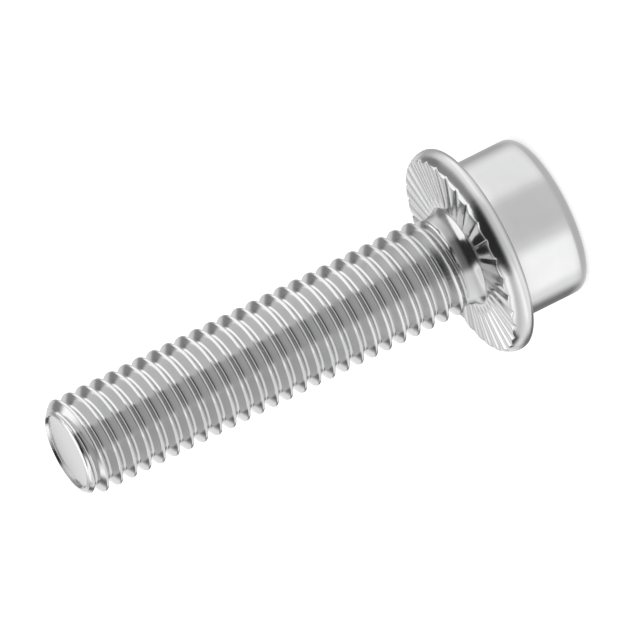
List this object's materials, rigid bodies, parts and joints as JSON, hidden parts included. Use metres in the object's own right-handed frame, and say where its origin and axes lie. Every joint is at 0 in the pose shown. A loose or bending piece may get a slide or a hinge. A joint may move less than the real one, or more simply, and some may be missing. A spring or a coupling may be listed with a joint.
{
  "type": "flange bolt",
  "caption": "Round-head flange bolt with a hexagon socket, a toothed bearing face under its flange and a full-length coarse right-hand thread.",
  "frame": {"origin": "centre of the top of the head, which the bolt stands on", "axes": "+Z along the bolt's axis, from the head to the tip of the thread"},
  "size_m": [0.0168, 0.0168, 0.0426],
  "materials": {
    "bright_steel": "bright plated steel, smooth and glossy, with fine turning marks"
  },
  "bodies": {
    "root": {"flange_bolt": "bright_steel"}
  },
  "joints": []
}
